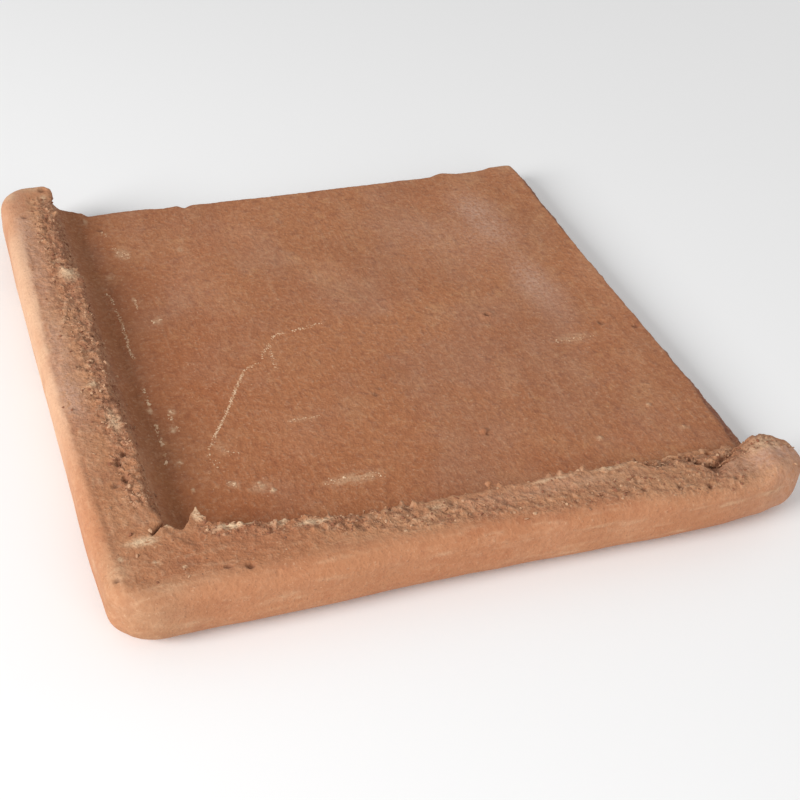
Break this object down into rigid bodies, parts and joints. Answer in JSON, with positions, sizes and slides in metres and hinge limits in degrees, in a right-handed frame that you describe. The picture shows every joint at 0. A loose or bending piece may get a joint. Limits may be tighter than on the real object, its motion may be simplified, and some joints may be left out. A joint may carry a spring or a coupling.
{
  "type": "corner stair tread tile",
  "caption": "Square fired-clay tread tile for the outer corner of a stair, with a rounded nose along two adjoining sides and plain cut edges on the other two.",
  "frame": {"origin": "on the walking face, under the middle of the whole tile, which lies upside down with that face on the floor", "axes": "+Z from the walking face to the mortar side, with the noses standing up; +X away from the nose on the left side; +Y away from the nose along the front"},
  "size_m": [0.337, 0.337, 0.032],
  "materials": {
    "fired_clay": "unglazed, hand-pressed terracotta, smooth on the noses and sandy on the underside"
  },
  "bodies": {
    "root": {"corner_tread": "fired_clay"}
  },
  "joints": []
}
